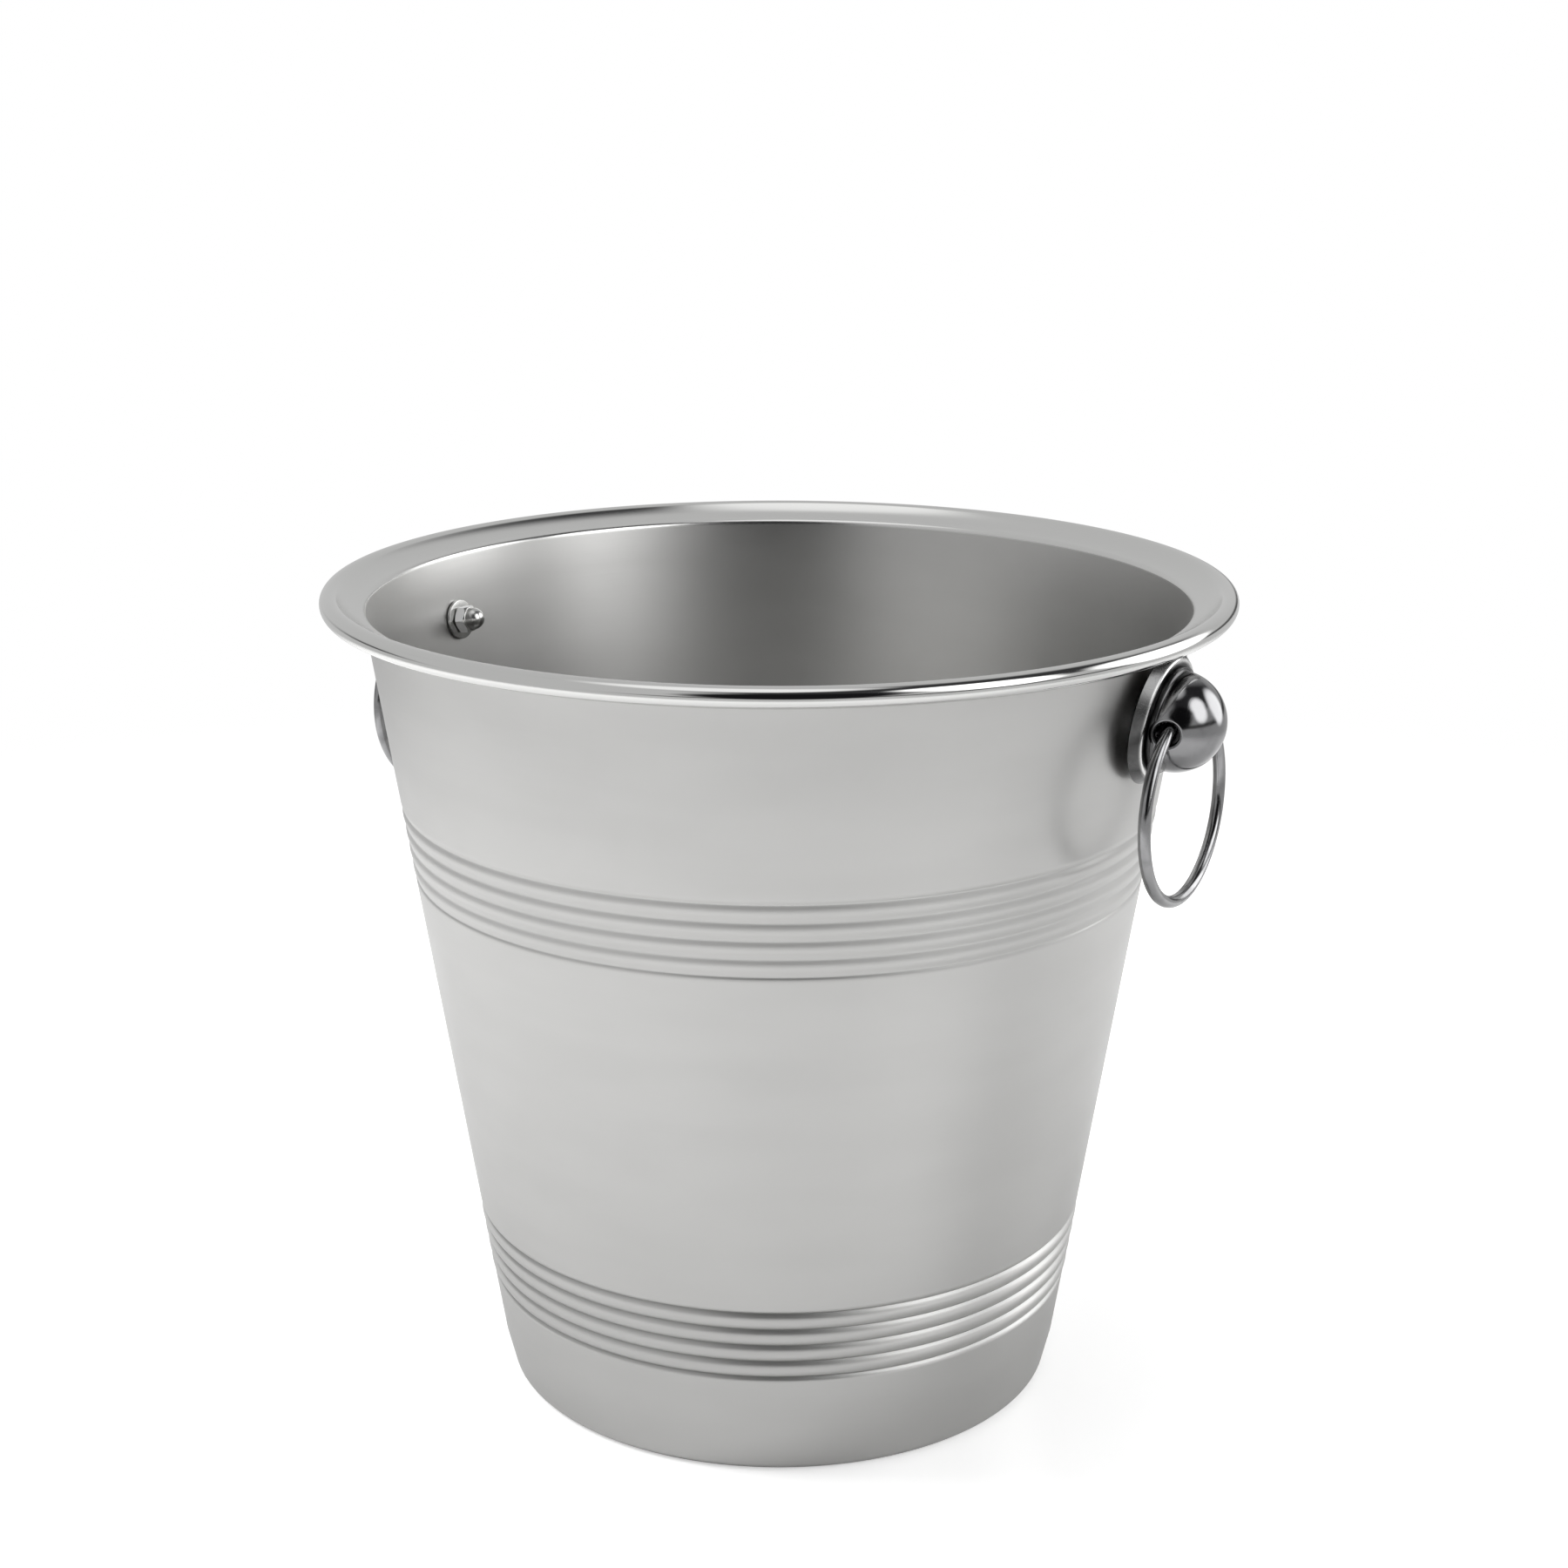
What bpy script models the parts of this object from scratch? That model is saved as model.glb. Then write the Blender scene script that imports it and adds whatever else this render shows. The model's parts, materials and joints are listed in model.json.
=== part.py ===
"""Champagne bucket: a tapered, beaded steel pail with a rolled lip and two ring handles.

The origin is at the middle of the base, +Z is up, and the handles stand on +X and -X.
Every size is in metres, made from millimetres with MM.
"""

import math

import bmesh
import bpy
from mathutils import Matrix, Vector

MM = 0.001
GAP = 0.3 * MM  # clearance kept between pieces that touch

# Pail
SHEET = 0.8 * MM
WALL_FOOT_RADIUS = 75.5 * MM  # outer wall, carried down to the resting plane
WALL_TAPER = 0.1559  # radius gained for each unit of height
WALL_LEAN = math.atan(WALL_TAPER)
PAIL_SIDES = 48

# Lip: a rolled edge, then a cove down to the wall, as sections of the visible side
ROLL_CENTRE = Vector((117.35 * MM, 217.45 * MM))
ROLL_RADIUS = 2.65 * MM
ROLL_START, ROLL_END = math.radians(-150), math.radians(135)
COVE_FLATTEST = math.radians(12)  # slope of the cove where it meets the wall bend
THROAT_RADIUS = 1.6 * MM

# Beads: two bands of grooves rolled into the wall
BEAD_PITCH = 4.8 * MM
GROOVES = 5
UPPER_BAND_Z, UPPER_DEPTH = 153.4 * MM, 0.40 * MM
LOWER_BAND_Z, LOWER_DEPTH = 38.8 * MM, 0.75 * MM

# Base
BASE_CORNER_RADIUS = 2.6 * MM
REST_RING_INNER = 66.0 * MM
BASE_STEP = Vector((61.0 * MM, 2.2 * MM))

# Handles: distances are from the wall's outer face, along its outward normal
HANDLE_Z = 197.3 * MM
PLATE_RADIUS = 17.5 * MM
PLATE_SHEET = 0.9 * MM
PLATE_FRONT = 4.9 * MM
PLATE_FRONT_RADIUS = 15.4 * MM  # where the flat front turns into the sloping skirt
PLATE_RIM = 2.3 * MM  # the skirt stops short of the wall, which curves away behind it
PLATE_EDGE_ROUND = 0.9 * MM
DIMPLE_TOP_RADIUS, DIMPLE_FOOT_RADIUS = 9.4 * MM, 6.6 * MM
BOSS_SHEET = 1.0 * MM
BOSS_RADIUS = 12.8 * MM
BOSS_CENTRE = 6.8 * MM
BOSS_FOOT_FILLET = 0.8 * MM
PIVOT_OUT = 9.74 * MM
SIDE_HOLE_RADIUS = 3.2 * MM
RING_RADIUS = 24.1 * MM  # to the wire's centreline
RING_WIRE = 1.6 * MM
RING_HOLD = 12.0 * MM  # half the chord of the ring inside the boss

# Fixing: one screw held between plate and boss, with a washer and a cap nut inside the pail
SCREW_RADIUS = 2.0 * MM
SCREW_HEAD_RADIUS, SCREW_HEAD_HEIGHT = 4.2 * MM, 1.8 * MM
SCREW_TIP = -6.8 * MM
CLEARANCE_RADIUS = SCREW_RADIUS + GAP
WASHER_RADIUS, WASHER_THICKNESS = 5.5 * MM, 0.8 * MM
WASHER_SEAT = SHEET + GAP + 0.15 * MM  # the pail is hollow there, so the washer sits on its edge
NUT_ACROSS_FLATS, NUT_HEX_HEIGHT = 7.0 * MM, 3.2 * MM
NUT_DOME_RADIUS = 3.1 * MM
NUT_CHAMFER = 0.4 * MM


def clear_scene():
    for thing in list(bpy.data.objects):
        bpy.data.objects.remove(thing, do_unlink=True)


def collection_named(name, hidden=False):
    group = bpy.data.collections.new(name)
    group.hide_render = hidden
    bpy.context.scene.collection.children.link(group)
    return group


def metal(name, colour, roughness):
    material = bpy.data.materials.new(name)
    material.use_nodes = True
    surface = material.node_tree.nodes["Principled BSDF"]
    surface.inputs["Base Color"].default_value = (*colour, 1.0)
    surface.inputs["Metallic"].default_value = 1.0
    surface.inputs["Roughness"].default_value = roughness
    return material


def arc(centre, radius, start, end, steps):
    """Points from start to end, both angles from the first axis, with both ends."""
    turn = (end - start) / steps
    return [
        centre + radius * Vector((math.cos(start + i * turn), math.sin(start + i * turn)))
        for i in range(steps + 1)
    ]


def add_object(name, mesh, group):
    thing = bpy.data.objects.new(name, mesh)
    group.objects.link(thing)
    return thing


def turned(name, profile, sides, group, closed=False):
    """A profile in X and Z, turned about Z. It runs down its outer side from the top."""
    count = len(profile)
    edges = [(i, i + 1) for i in range(count - 1)]
    if closed:
        edges.append((count - 1, 0))
    mesh = bpy.data.meshes.new(name)
    mesh.from_pydata([(x, 0.0, z) for x, z in profile], edges, [])
    thing = add_object(name, mesh, group)
    turn = thing.modifiers.new("Turn", "SCREW")
    turn.steps = turn.render_steps = sides
    turn.use_merge_vertices = True
    turn.merge_threshold = 0.00001
    return thing


def thicken(thing, thickness):
    """Gives an open surface its wall, on the side away from its normals."""
    wall = thing.modifiers.new("Wall", "SOLIDIFY")
    wall.thickness = thickness
    wall.offset = -1.0
    wall.use_even_offset = True


def cylinder(name, radius, low, high, sides, group):
    """A closed cylinder on the Z axis, from low to high."""
    shape = bmesh.new()
    bmesh.ops.create_cone(
        shape, cap_ends=True, segments=sides, radius1=radius, radius2=radius, depth=high - low
    )
    bmesh.ops.translate(shape, verts=shape.verts, vec=(0.0, 0.0, (low + high) / 2))
    mesh = bpy.data.meshes.new(name)
    shape.to_mesh(mesh)
    shape.free()
    return add_object(name, mesh, group)


def combine(thing, operation, other):
    step = thing.modifiers.new(operation.title(), "BOOLEAN")
    step.operation = operation
    step.solver = "EXACT"
    step.object = other
    other.display_type = "WIRE"
    other.hide_render = True


def finished_mesh(thing):
    """The object's mesh with its modifiers applied, for its two copies to share."""
    bpy.context.view_layer.update()
    graph = bpy.context.evaluated_depsgraph_get()
    mesh = bpy.data.meshes.new_from_object(thing.evaluated_get(graph))
    mesh.name = thing.name
    return mesh


def shade(mesh, angle=35):
    mesh.shade_smooth()
    mesh.set_sharp_from_angle(angle=math.radians(angle))


def wall_radius(z):
    """The wall's outer radius at a height, without its beads."""
    return WALL_FOOT_RADIUS + WALL_TAPER * z


def lip_section():
    """The lip's hidden side, from the curled end to the top of the outer wall."""
    curl = arc(ROLL_CENTRE, ROLL_RADIUS - SHEET, ROLL_START, ROLL_END, 9)
    edge = ROLL_CENTRE + ROLL_RADIUS * Vector((math.cos(ROLL_END), math.sin(ROLL_END)))
    # The cove's radius is the one that brings the throat onto the wall's inner face.
    steep = Vector((math.cos(ROLL_END), math.sin(ROLL_END)))
    flat = Vector((math.sin(COVE_FLATTEST), -math.cos(COVE_FLATTEST)))
    inward = Vector((-math.cos(WALL_LEAN), math.sin(WALL_LEAN)))
    inner_foot = WALL_FOOT_RADIUS - SHEET / math.cos(WALL_LEAN)
    throat = THROAT_RADIUS * (flat + inward)
    start = edge + throat
    cove = steep + flat
    cove_radius = (inner_foot + WALL_TAPER * start.y - start.x) / (cove.x - WALL_TAPER * cove.y)
    cove_centre = edge + cove_radius * steep
    throat_centre = cove_centre + (cove_radius + THROAT_RADIUS) * flat
    flat_angle = COVE_FLATTEST - math.pi / 2
    hidden_cove = arc(cove_centre, cove_radius + SHEET, ROLL_END - math.pi, flat_angle, 4)
    hidden_throat = arc(
        throat_centre, THROAT_RADIUS - SHEET, flat_angle + math.pi, math.pi - WALL_LEAN, 3
    )
    return curl + hidden_cove[1:] + hidden_throat[1:]


def bead_band(middle, depth):
    """One band of grooves down the wall, each with a round rib to the next."""
    points = []
    first = middle + BEAD_PITCH * (GROOVES - 1) / 2
    quarter = BEAD_PITCH / 4
    points.append(Vector((wall_radius(first + quarter), first + quarter)))
    for i in range(GROOVES):
        z = first - i * BEAD_PITCH
        points.append(Vector((wall_radius(z) - depth, z)))
        if i < GROOVES - 1:
            crest = z - BEAD_PITCH / 2
            points.append(Vector((wall_radius(crest) + depth / 4, crest)))
    last = first - (GROOVES - 1) * BEAD_PITCH
    points.append(Vector((wall_radius(last - quarter), last - quarter)))
    return points


def base_section():
    """The bottom corner, the resting ring and the raised middle."""
    radius = BASE_CORNER_RADIUS
    lean = radius * math.tan((math.pi / 2 + WALL_LEAN) / 2)
    centre = Vector((WALL_FOOT_RADIUS - lean, radius))
    corner = arc(centre, radius, -WALL_LEAN, -math.pi / 2, 3)
    rest_edge = Vector((REST_RING_INNER, 0.0))
    middle = Vector((0.0, BASE_STEP.y))
    return corner + [rest_edge, BASE_STEP, middle]


def build_pail(parts, cutters):
    section = lip_section()
    section += bead_band(UPPER_BAND_Z, UPPER_DEPTH)
    section += bead_band(LOWER_BAND_Z, LOWER_DEPTH)
    section += base_section()
    pail = turned("bucket_shell", section, PAIL_SIDES, parts)
    thicken(pail, SHEET)
    drill = cylinder("screw_hole_drill", CLEARANCE_RADIUS, -8 * MM, 8 * MM, 16, cutters)
    for side in (1, -1):
        copy = add_object(f"screw_hole_{side}", drill.data, cutters)
        copy.matrix_world = handle_frame(side)
        combine(pail, "DIFFERENCE", copy)
    bpy.data.objects.remove(drill)
    mesh = finished_mesh(pail)
    bpy.data.objects.remove(pail)
    shade(mesh)
    mesh.materials.append(metal("satin_steel", (0.72, 0.71, 0.69), 0.34))
    return add_object("bucket_shell", mesh, parts)


def handle_frame(side):
    """Z along the wall's outward normal at the handle, X down the wall, side 1 on +X."""
    to_wall = Matrix.Translation((wall_radius(HANDLE_Z), 0.0, HANDLE_Z))
    lean = Matrix.Rotation(math.pi / 2 + WALL_LEAN, 4, "Y")
    half_turn = Matrix.Rotation(0.0 if side > 0 else math.pi, 4, "Z")
    return half_turn @ to_wall @ lean


def plate_piece(group):
    """Dished plate: a dimple that bears on the wall, a flat front and a sloping skirt."""
    floor = GAP + PLATE_SHEET
    slope = math.atan2(PLATE_FRONT - PLATE_RIM, PLATE_RADIUS - PLATE_FRONT_RADIUS)
    inset = PLATE_EDGE_ROUND * math.tan(slope / 2)
    corner = Vector((PLATE_FRONT_RADIUS - inset, PLATE_FRONT - PLATE_EDGE_ROUND))
    section = [
        Vector((CLEARANCE_RADIUS, floor)),
        Vector((DIMPLE_FOOT_RADIUS, floor)),
        Vector((DIMPLE_TOP_RADIUS, PLATE_FRONT)),
    ]
    section += arc(corner, PLATE_EDGE_ROUND, math.pi / 2, math.pi / 2 - slope, 3)
    section.append(Vector((PLATE_RADIUS, PLATE_RIM)))
    plate = turned("backplate", section, 28, group)
    thicken(plate, PLATE_SHEET)
    return plate


def boss_piece(group, cutters):
    """Hollow dome on a small flared foot, with a hole in each side for the ring."""
    centre = Vector((0.0, BOSS_CENTRE))
    rise = PLATE_FRONT + GAP + BOSS_SHEET + BOSS_FOOT_FILLET - BOSS_CENTRE
    meeting = math.asin(rise / (BOSS_RADIUS + BOSS_FOOT_FILLET))
    reach = (BOSS_RADIUS + BOSS_FOOT_FILLET) * math.cos(meeting)
    fillet = centre + Vector((reach, rise))
    section = arc(centre, BOSS_RADIUS, math.pi / 2, meeting, 7)
    section += arc(fillet, BOSS_FOOT_FILLET, math.pi + meeting, 1.5 * math.pi, 3)[1:]
    boss = turned("boss", section, 28, group)
    thicken(boss, BOSS_SHEET)
    reach = 2 * BOSS_RADIUS
    drill = cylinder("ring_hole_drill", SIDE_HOLE_RADIUS, -reach, reach, 20, cutters)
    drill.matrix_world = Matrix.Translation((0.0, 0.0, PIVOT_OUT)) @ Matrix.Rotation(
        math.pi / 2, 4, "X"
    )
    combine(boss, "DIFFERENCE", drill)
    return boss


def screw_piece(group):
    """Low-headed screw: the head in the plate's dimple, the shank through the wall."""
    seat = 2 * GAP + PLATE_SHEET
    top = seat + SCREW_HEAD_HEIGHT
    soft = 0.5 * MM
    section = [
        Vector((0.0, top)),
        Vector((SCREW_HEAD_RADIUS - 2 * soft, top)),
        Vector((SCREW_HEAD_RADIUS, top - 2 * soft)),
        Vector((SCREW_HEAD_RADIUS, seat)),
        Vector((SCREW_RADIUS, seat)),
        Vector((SCREW_RADIUS, SCREW_TIP + soft)),
        Vector((SCREW_RADIUS - soft, SCREW_TIP)),
        Vector((0.0, SCREW_TIP)),
    ]
    return turned("screw", section, 16, group)


def washer_piece(group):
    top = -WASHER_SEAT
    foot = top - WASHER_THICKNESS
    section = [
        Vector((WASHER_RADIUS, top)),
        Vector((WASHER_RADIUS, foot)),
        Vector((CLEARANCE_RADIUS, foot)),
        Vector((CLEARANCE_RADIUS, top)),
    ]
    return turned("washer", section, 24, group, closed=True)


def cap_nut_piece(group, cutters):
    """Hexagon with chamfered corners and a domed end, and a blind hole for the screw."""
    top = -WASHER_SEAT - WASHER_THICKNESS - GAP
    corner = NUT_ACROSS_FLATS / 2 / math.cos(math.pi / 6)
    dome_centre = top - NUT_HEX_HEIGHT - 0.6 * MM
    end = dome_centre - NUT_DOME_RADIUS
    nut = cylinder("cap_nut", corner, end - MM, top, 6, group)
    outline = [
        Vector((0.0, top + MM)),
        Vector((corner + MM, top + MM)),
        Vector((corner + NUT_CHAMFER, top - NUT_HEX_HEIGHT + NUT_CHAMFER * 2)),
        Vector((NUT_ACROSS_FLATS / 2 - 0.05 * MM, top - NUT_HEX_HEIGHT)),
        Vector((NUT_DOME_RADIUS, top - NUT_HEX_HEIGHT)),
    ]
    outline += arc(Vector((0.0, dome_centre)), NUT_DOME_RADIUS, 0.0, -math.pi / 2, 4)
    turning = turned("cap_nut_turning", outline, 24, cutters)
    combine(nut, "INTERSECT", turning)
    bore = cylinder("cap_nut_bore", CLEARANCE_RADIUS, SCREW_TIP - GAP, top + MM, 16, cutters)
    combine(nut, "DIFFERENCE", bore)
    return nut


def ring_mesh(name):
    """Wire ring hanging in the Y-Z plane, its origin on the pivot axis."""
    bpy.ops.mesh.primitive_torus_add(
        major_radius=RING_RADIUS, minor_radius=RING_WIRE, major_segments=40, minor_segments=8
    )
    torus = bpy.context.active_object
    mesh = torus.data
    mesh.name = name
    bpy.data.objects.remove(torus)
    drop = math.sqrt(RING_RADIUS**2 - RING_HOLD**2)
    mesh.transform(Matrix.Translation((0.0, 0.0, -drop)) @ Matrix.Rotation(math.pi / 2, 4, "Y"))
    return mesh


def build_handles(parts, cutters):
    chrome = metal("polished_handle_steel", (0.32, 0.32, 0.325), 0.12)
    zinc = metal("plain_fixing_steel", (0.62, 0.62, 0.63), 0.28)
    pieces = [
        (plate_piece(cutters), chrome),
        (boss_piece(cutters, cutters), chrome),
        (screw_piece(cutters), zinc),
        (washer_piece(cutters), zinc),
        (cap_nut_piece(cutters, cutters), zinc),
    ]
    meshes = []
    for piece, material in pieces:
        mesh = finished_mesh(piece)
        mesh.materials.clear()
        mesh.materials.append(material)
        shade(mesh)
        meshes.append((piece.name, mesh))
        bpy.data.objects.remove(piece)
    ring = ring_mesh("ring")
    ring.materials.append(chrome)
    shade(ring, 60)
    for side, word in ((1, "right"), (-1, "left")):
        frame = handle_frame(side)
        for name, mesh in meshes:
            add_object(f"{name}_{word}", mesh, parts).matrix_world = frame
        pivot = bpy.data.objects.new(f"ring_pivot_{word}", None)
        parts.objects.link(pivot)
        pivot.location = frame @ Vector((0.0, 0.0, PIVOT_OUT))
        add_object(f"ring_{word}", ring, parts).parent = pivot


def main():
    clear_scene()
    parts = collection_named("champagne_bucket")
    cutters = collection_named("cutters", hidden=True)
    build_pail(parts, cutters)
    build_handles(parts, cutters)


main()
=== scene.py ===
"""Looks of the champagne bucket: satin pail with a polished lip, and two polished ring handles.

Lengths are in metres, written as millimetres times MM. A section is a list of points
(distance from the axis, height) that is turned about an axis.
"""

import json
import math

import bmesh
import bpy
from mathutils import Matrix, Vector


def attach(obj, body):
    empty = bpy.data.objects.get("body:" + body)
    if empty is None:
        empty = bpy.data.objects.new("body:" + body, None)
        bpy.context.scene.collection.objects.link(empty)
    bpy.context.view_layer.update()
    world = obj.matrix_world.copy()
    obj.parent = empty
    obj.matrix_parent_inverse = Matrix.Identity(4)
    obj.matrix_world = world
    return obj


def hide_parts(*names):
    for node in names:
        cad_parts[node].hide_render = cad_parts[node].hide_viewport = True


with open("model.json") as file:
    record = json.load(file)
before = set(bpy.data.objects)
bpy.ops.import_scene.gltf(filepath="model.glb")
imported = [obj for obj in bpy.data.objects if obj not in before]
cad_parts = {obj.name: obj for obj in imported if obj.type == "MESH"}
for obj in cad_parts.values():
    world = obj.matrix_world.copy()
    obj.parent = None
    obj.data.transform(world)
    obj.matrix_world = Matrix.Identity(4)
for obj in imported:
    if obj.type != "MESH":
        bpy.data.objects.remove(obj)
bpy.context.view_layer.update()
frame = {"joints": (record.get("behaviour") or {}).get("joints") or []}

MM = 0.001
SIDES = {"right": 1, "left": -1}

# Pail, as in the part
SHEET = 0.8 * MM
WALL_FOOT_RADIUS = 75.5 * MM
WALL_TAPER = 0.1559
WALL_LEAN = math.atan(WALL_TAPER)
ROLL_CENTRE = Vector((117.35 * MM, 217.41 * MM))
ROLL_RADIUS = 2.65 * MM
ROLL_START, ROLL_END = math.radians(-150), math.radians(135)
COVE_FLATTEST = math.radians(12)
THROAT_RADIUS = 1.6 * MM
THROAT_Z = 214.6 * MM
BEAD_PITCH = 4.8 * MM
GROOVES = 5
UPPER_BAND_Z, UPPER_DEPTH = 153.4 * MM, 0.34 * MM
LOWER_BAND_Z, LOWER_DEPTH = 38.8 * MM, 0.75 * MM
UPPER_CREASE, LOWER_CREASE = 1.6, 0.95
COVE_POLISH = (114.4 * MM, 116.2 * MM)
BASE_CORNER_RADIUS = 2.6 * MM
REST_RING_INNER = 66.0 * MM
BASE_STEP = Vector((61.0 * MM, 2.2 * MM))
PLAIN_WALL_ABOVE = (205 * MM, 190 * MM, 175 * MM)
PLAIN_WALL_BETWEEN = (128 * MM, 110 * MM, 92 * MM, 74 * MM, 60 * MM)
PLAIN_WALL_BELOW = (19 * MM, 11 * MM)
PAIL_SEGMENTS = 192

# Handles, as in the part, measured outwards from the wall
GAP = 0.3 * MM
PLATE_RADIUS, PLATE_FRONT, PLATE_RIM = 17.5 * MM, 4.9 * MM, 2.3 * MM
PLATE_FRONT_RADIUS = 15.4 * MM
PLATE_SHEET, PLATE_EDGE_ROUND = 0.9 * MM, 0.9 * MM
FRONT_STEP = 0.8 * MM
DIMPLE_TOP_RADIUS, DIMPLE_FOOT_RADIUS = 9.4 * MM, 6.6 * MM
BOSS_SHEET, BOSS_RADIUS, BOSS_CENTRE = 1.0 * MM, 12.77 * MM, 6.8 * MM
BOSS_FOOT_FILLET = 0.8 * MM
PIVOT_OUT = 9.74 * MM
HOLE_RADIUS, HOLE_LIP = 2.9 * MM, 0.9 * MM
RING_RADIUS, RING_WIRE, RING_HOLD = 24.1 * MM, 1.6 * MM, 12.0 * MM
SCREW_RADIUS, SCREW_HEAD_RADIUS, SCREW_HEAD_HEIGHT = 2.0 * MM, 4.2 * MM, 1.8 * MM
SCREW_TIP = -6.8 * MM
CLEARANCE_RADIUS = SCREW_RADIUS + GAP
WASHER_RADIUS, WASHER_THICKNESS = 5.5 * MM, 0.8 * MM
WASHER_SEAT = SHEET + GAP + 0.15 * MM
NUT_ACROSS_FLATS, NUT_HEX_HEIGHT, NUT_DOME_RADIUS = 7.0 * MM, 3.2 * MM, 3.1 * MM

# Painted highlight's reach from the plate's front edge; painted shade's reach from the dome's foot
EDGE_HIGHLIGHT_WIDTH, PLATE_CORNER_SHADE_WIDTH, BOSS_CORNER_SHADE_WIDTH = 0.7 * MM, 2.2 * MM, 2.8 * MM

# Colours of the metal
WALL_DULL, WALL_CLEAR = (0.546, 0.544, 0.535, 1.0), (0.560, 0.558, 0.549, 1.0)
# The darkest wall colour is painted shade for the grooves, the lip's underside and the curl.
LIP_METAL, WALL_PAINTED_SHADE = (0.70, 0.70, 0.69, 1.0), (0.16, 0.16, 0.157, 1.0)
# A near-white painted highlight for the plates' front edges, near-black painted shade for corners.
PAINTED_EDGE_HIGHLIGHT, PAINTED_CORNER_SHADE = (0.80, 0.80, 0.79, 1.0), (0.012, 0.012, 0.012, 1.0)

# Finish of plate, dome, ring and fixing: name, clear and smudged colour, roughness, how much a
# smudge adds to it, and how deep the scratches are
HANDLE_FINISHES = (
    ("worn_plate_steel", (0.15, 0.15, 0.15, 1), (0.10, 0.10, 0.10, 1), 0.24, 0.10, 0.5),
    ("polished_boss_steel", (0.29, 0.29, 0.295, 1), (0.24, 0.24, 0.245, 1), 0.10, 0.05, 0.2),
    ("polished_wire_steel", (0.34, 0.34, 0.345, 1), (0.25, 0.25, 0.255, 1), 0.12, 0.08, 0.3),
    ("plain_fixing_steel", (0.62, 0.62, 0.61, 1), (0.52, 0.52, 0.51, 1), 0.20, 0.10, 0.3),
)

# Camera, about the pail's axis
CAMERA_AZIMUTH = math.radians(30.25)
CAMERA_DISTANCE, CAMERA_HEIGHT = 726.0 * MM, 370.6 * MM
CAMERA_PITCH = math.radians(15.89)
CAMERA_LENS, CAMERA_SHIFT = 64.4, 0.0031

# Room that the metal reflects. Directions are right, away and up as the camera sees them, and
# the edges of each part are heights or nearness to its middle, from -1 to 1.
ROOM_BELOW, ROOM_HORIZON = (0.62, 0.62, 0.62, 1.0), (0.10, 0.10, 0.10, 1.0)
ROOM_WALLS, ROOM_UPPER = (0.58, 0.58, 0.58, 1.0), (0.045, 0.045, 0.047, 1.0)
ROOM_CEILING, ROOM_DARK = (1.15, 1.15, 1.15, 1.0), (0.010, 0.010, 0.011, 1.0)
ROOM_WINDOW = (2.8, 2.8, 2.8, 1.0)
CEILING_MIDDLE, CEILING_EDGES = (-0.12, -0.10, 0.98), (0.90, 0.975)
ROOM_FAR, FAR_MIDDLE, FAR_EDGES = (0.62, 0.62, 0.62, 1.0), (-0.25, 0.75, 0.61), (0.55, 0.80)
ROOM_LEFT, LEFT_MIDDLE, LEFT_EDGES = (0.62, 0.62, 0.62, 1.0), (-0.80, -0.35, 0.45), (0.62, 0.85)
DARK_MIDDLE, DARK_EDGES = (0.06, -0.93, 0.34), (0.86, 0.94)
WINDOWS = (
    ((0.66, -0.45, 0.60), (0.925, 0.985)),
    ((0.76, -0.52, 0.36), (0.94, 0.985)),
    ((0.90, 0.30, 0.32), (0.90, 0.975)),
    ((0.94, 0.32, 0.14), (0.94, 0.985)),
)
FLOOR_RADIUS = 1.0
FLOOR_COLOUR = (0.78, 0.78, 0.78, 1.0)
FLOOR_GLOW, FLOOR_SEEN_GLOW = (0.04, 0.20), 0.42


# ---------------------------------------------------------------- node helpers


def add_node(tree, kind, inputs=None, **settings):
    """A new node, its settings made and its inputs set or linked by name or number."""
    node = tree.nodes.new(kind)
    for name, value in settings.items():
        setattr(node, name, value)
    for key, value in (inputs or {}).items():
        socket = node.inputs[key]
        if isinstance(value, bpy.types.NodeSocket):
            tree.links.new(value, socket)
        else:
            socket.default_value = value
    return node


def math_node(tree, operation, first, second=0.0):
    return add_node(tree, "ShaderNodeMath", {0: first, 1: second}, operation=operation).outputs[0]


def span(tree, value, low, high, to_low=0.0, to_high=1.0):
    """The value carried smoothly from low..high to to_low..to_high."""
    inputs = {"Value": value, 1: low, 2: high, 3: to_low, 4: to_high}
    return add_node(tree, "ShaderNodeMapRange", inputs, interpolation_type="SMOOTHSTEP").outputs[0]


def blend(tree, factor, first, second):
    """A colour between the two."""
    node = add_node(tree, "ShaderNodeMix", data_type="RGBA")
    for key, value in ((0, factor), (6, first), (7, second)):
        if isinstance(value, bpy.types.NodeSocket):
            tree.links.new(value, node.inputs[key])
        else:
            node.inputs[key].default_value = value
    return node.outputs[2]


def new_group(name, kind, inputs, outputs):
    """A node group with named sockets. Gives the tree, its input node and its output node."""
    tree = bpy.data.node_groups.new(name, kind)
    for label, form, value in inputs:
        socket = tree.interface.new_socket(label, in_out="INPUT", socket_type=form)
        if value is not None:
            socket.default_value = value
    for label, form in outputs:
        tree.interface.new_socket(label, in_out="OUTPUT", socket_type=form)
    return tree, tree.nodes.new("NodeGroupInput"), tree.nodes.new("NodeGroupOutput")


# ---------------------------------------------------------------- geometry node trees


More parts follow.
